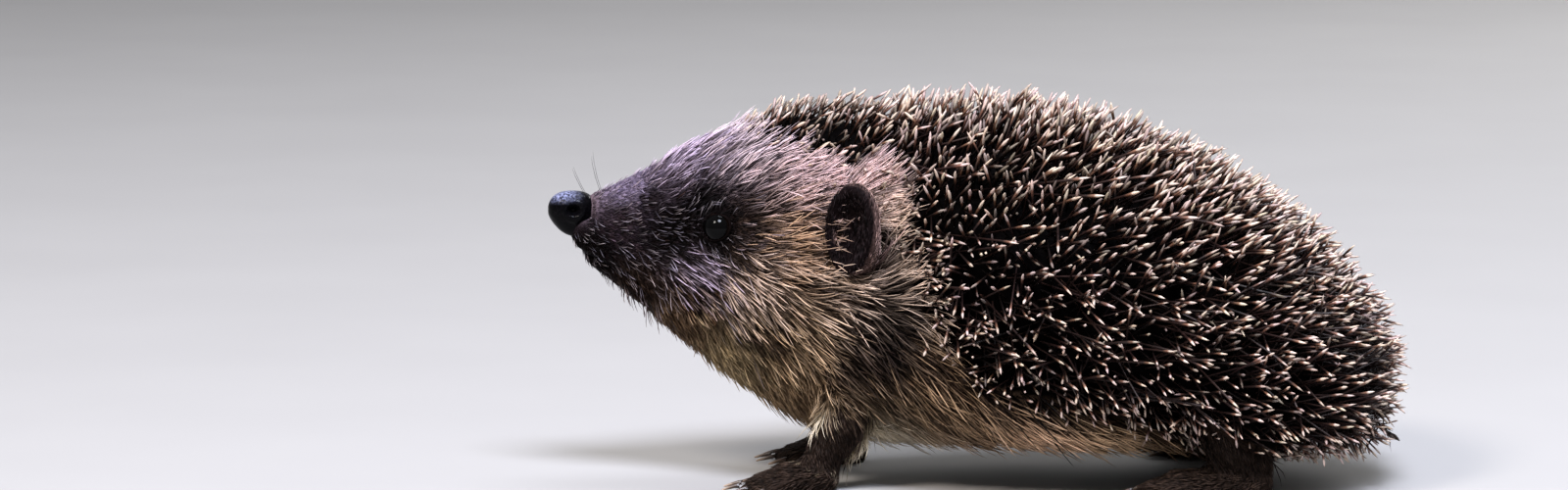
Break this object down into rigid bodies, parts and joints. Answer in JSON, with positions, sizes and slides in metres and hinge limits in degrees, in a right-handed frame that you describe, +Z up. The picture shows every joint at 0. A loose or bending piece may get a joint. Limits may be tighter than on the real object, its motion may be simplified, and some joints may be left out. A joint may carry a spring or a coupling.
{
  "type": "hedgehog",
  "caption": "Life-size European hedgehog model, standing on all fours with raised snout, spiny domed back, furred face and flanks, clawed feet flat on the floor.",
  "frame": {"origin": "on the floor, under the middle of the bounding box", "axes": "nose towards -Y, the animal's left towards +X, +Z up"},
  "size_m": [0.1126, 0.2184, 0.1],
  "materials": {
    "spines": "satin keratin, dark with cream ends",
    "fur": "coarse brown flank and belly fur",
    "face": "short purple-grey and brown face fur",
    "throat": "soft tan throat and chest fur",
    "leg": "dark skin with thin short fur",
    "ear": "dark thin skin",
    "eye": "wet black",
    "nose": "moist black, finely grained",
    "claw": "horn"
  },
  "bodies": {
    "root": {"mantle": "spines", "trunk": "fur", "neck": "throat", "head": "face", "muzzle": "face", "lower_jaw": "throat", "nose": "nose", "eye_left": "eye", "eye_right": "eye", "ear_left": "ear", "ear_right": "ear", "tail": "leg", "foreleg_left": "leg", "foreleg_right": "leg", "hindleg_left": "leg", "hindleg_right": "leg", "forefoot_left": "leg", "forefoot_right": "leg", "hindfoot_left": "leg", "hindfoot_right": "leg", "foreclaw_left_1": "claw", "foreclaw_left_2": "claw", "foreclaw_left_3": "claw", "foreclaw_left_4": "claw", "foreclaw_left_5": "claw", "foreclaw_right_1": "claw", "foreclaw_right_2": "claw", "foreclaw_right_3": "claw", "foreclaw_right_4": "claw", "foreclaw_right_5": "claw", "hindclaw_left_1": "claw", "hindclaw_left_2": "claw", "hindclaw_left_3": "claw", "hindclaw_left_4": "claw", "hindclaw_left_5": "claw", "hindclaw_right_1": "claw", "hindclaw_right_2": "claw", "hindclaw_right_3": "claw", "hindclaw_right_4": "claw", "hindclaw_right_5": "claw"}
  },
  "joints": []
}
